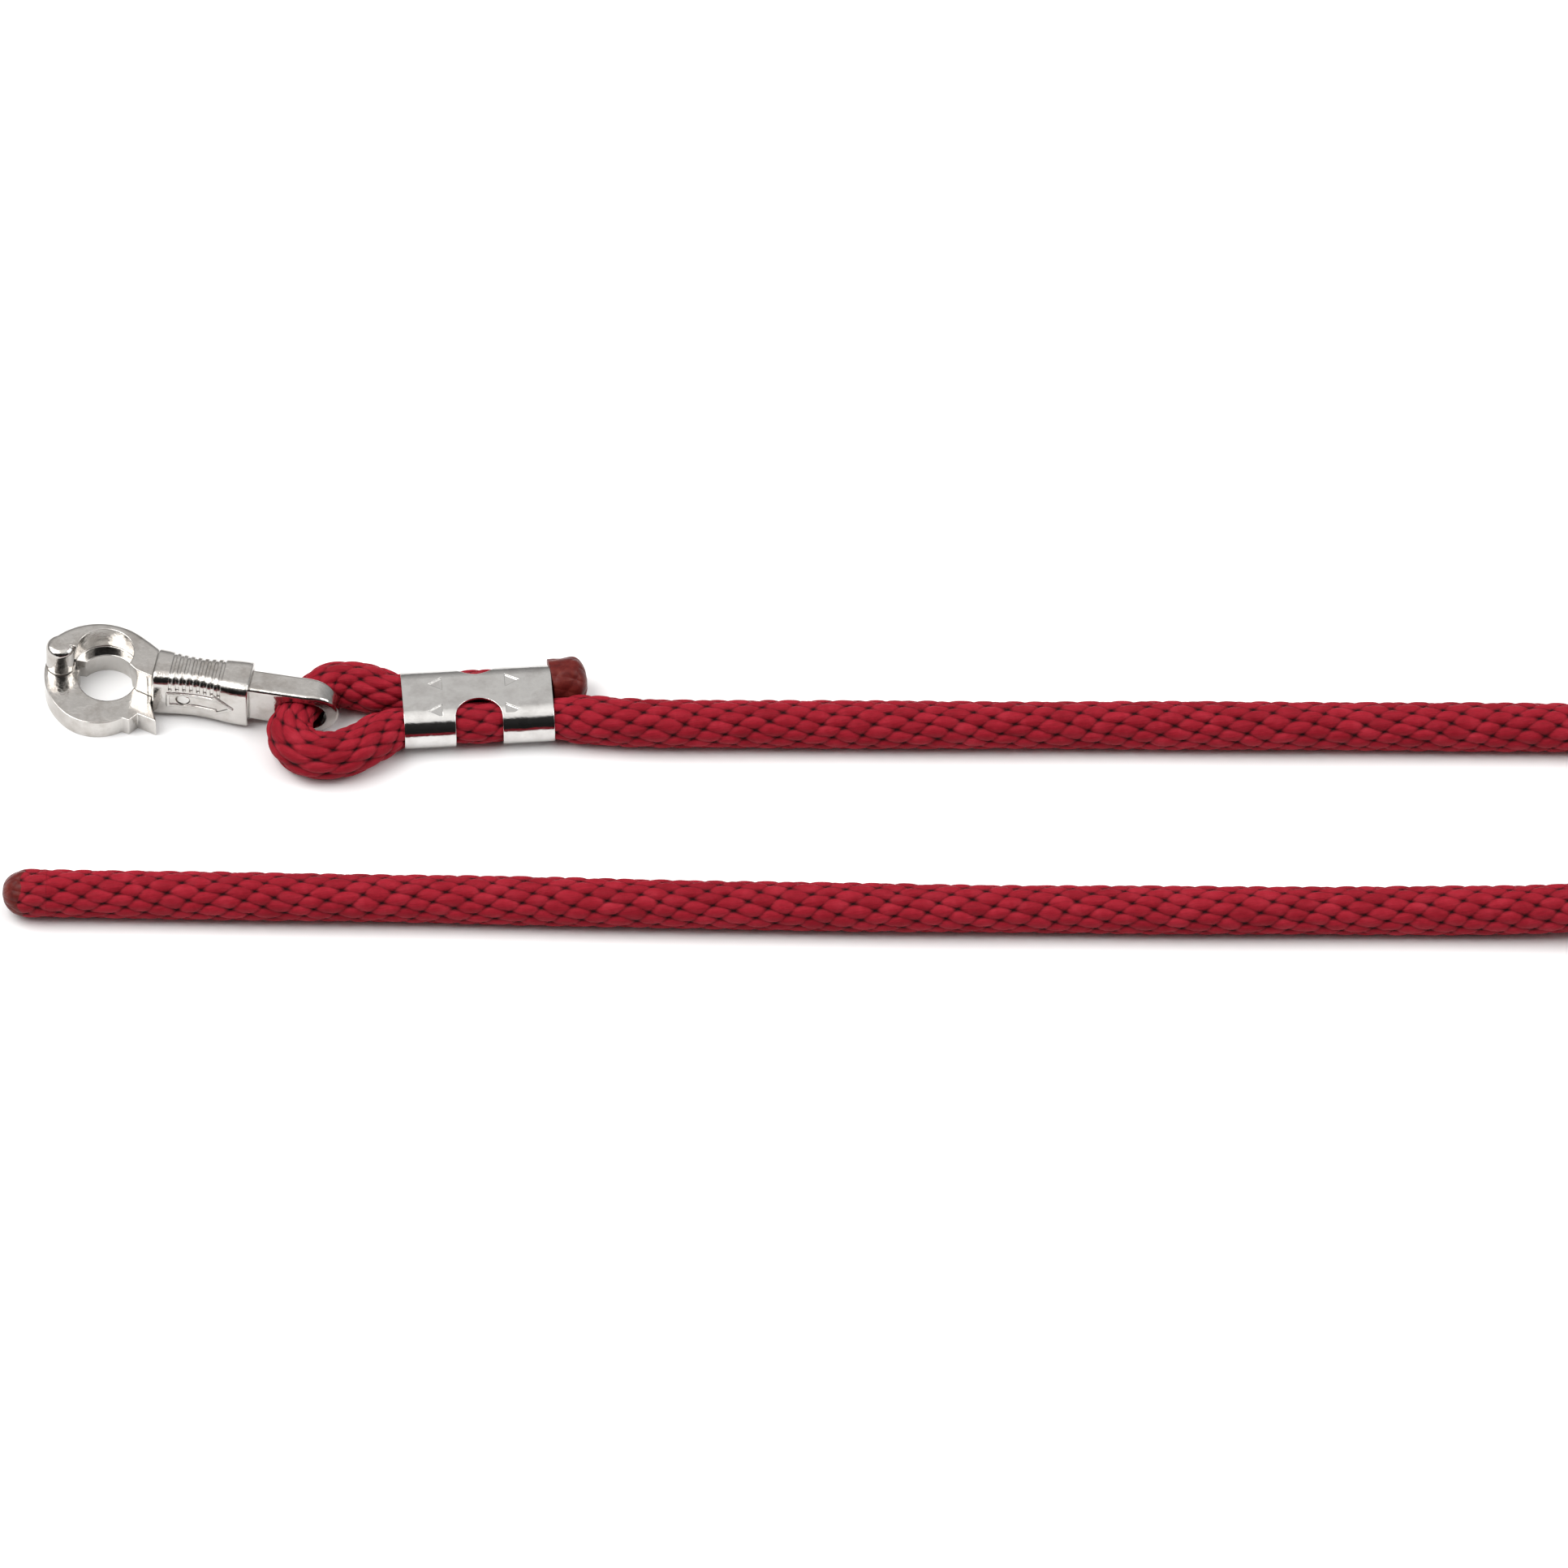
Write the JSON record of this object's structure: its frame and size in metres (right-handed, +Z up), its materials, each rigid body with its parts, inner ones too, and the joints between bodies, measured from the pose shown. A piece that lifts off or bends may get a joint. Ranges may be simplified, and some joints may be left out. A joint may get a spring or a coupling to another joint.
{
  "type": "lead rope with quick-release hook",
  "caption": "Braided horse lead rope with a quick-release hook: hinged jaw, spring sleeve and rope eye, held by a stamped clamp.",
  "frame": {"origin": "centre of the hook's ring opening, at the level of the surface that the lead lies on", "axes": "+X runs along the rope, away from the ring; +Z is up, out of the surface; +Y completes a right-handed frame"},
  "size_m": [0.7259, 0.1759, 0.032],
  "materials": {
    "nickel_cast": "polished nickel plate on a casting",
    "nickel_pin": "nickel-plated pin and rivet",
    "spring_steel": "drawn wire",
    "nickel_sheet": "polished nickel plate on stamped sheet",
    "braided_rope": "crimson braided polypropylene",
    "rope_dip": "brown-red dip, half gloss"
  },
  "bodies": {
    "lead": {"rope_clamp": "nickel_sheet", "rope_loop": "braided_rope", "short_end_dip": "rope_dip", "lead_rope": "braided_rope", "rope_coil": "braided_rope", "rope_return": "braided_rope", "free_end_dip": "rope_dip"},
    "hook": {"hook_body": "nickel_cast", "jaw_rivet": "nickel_pin", "sleeve_spring": "spring_steel"},
    "sleeve": {"release_sleeve": "nickel_cast", "sleeve_pin": "nickel_pin"},
    "jaw": {"swing_jaw": "nickel_cast"}
  },
  "joints": [
    {"name": "hook_swing", "type": "hinge", "parent": "lead", "child": "hook", "pos_m": [0.06532, -0.01246, 0.0084], "axis": [0.1874, 0.9823, 0], "range_deg": [-30, 60]},
    {"name": "sleeve_slide", "type": "slide", "parent": "hook", "child": "sleeve", "axis": [0.9823, -0.1874, 0], "range_m": [0, 0.009], "stiffness_N_per_m": 900, "springref_m": -0.004, "deforming": ["sleeve_spring"]},
    {"name": "jaw_swing", "type": "hinge", "parent": "hook", "child": "jaw", "pos_m": [-0.01553, 0.00612, 0.00365], "axis": [0, 0, -1], "range_deg": [0, 70]}
  ],
  "couplings": [
    {"joint": "jaw_swing", "follows": "sleeve_slide", "rad_per_m": 135.75}
  ]
}
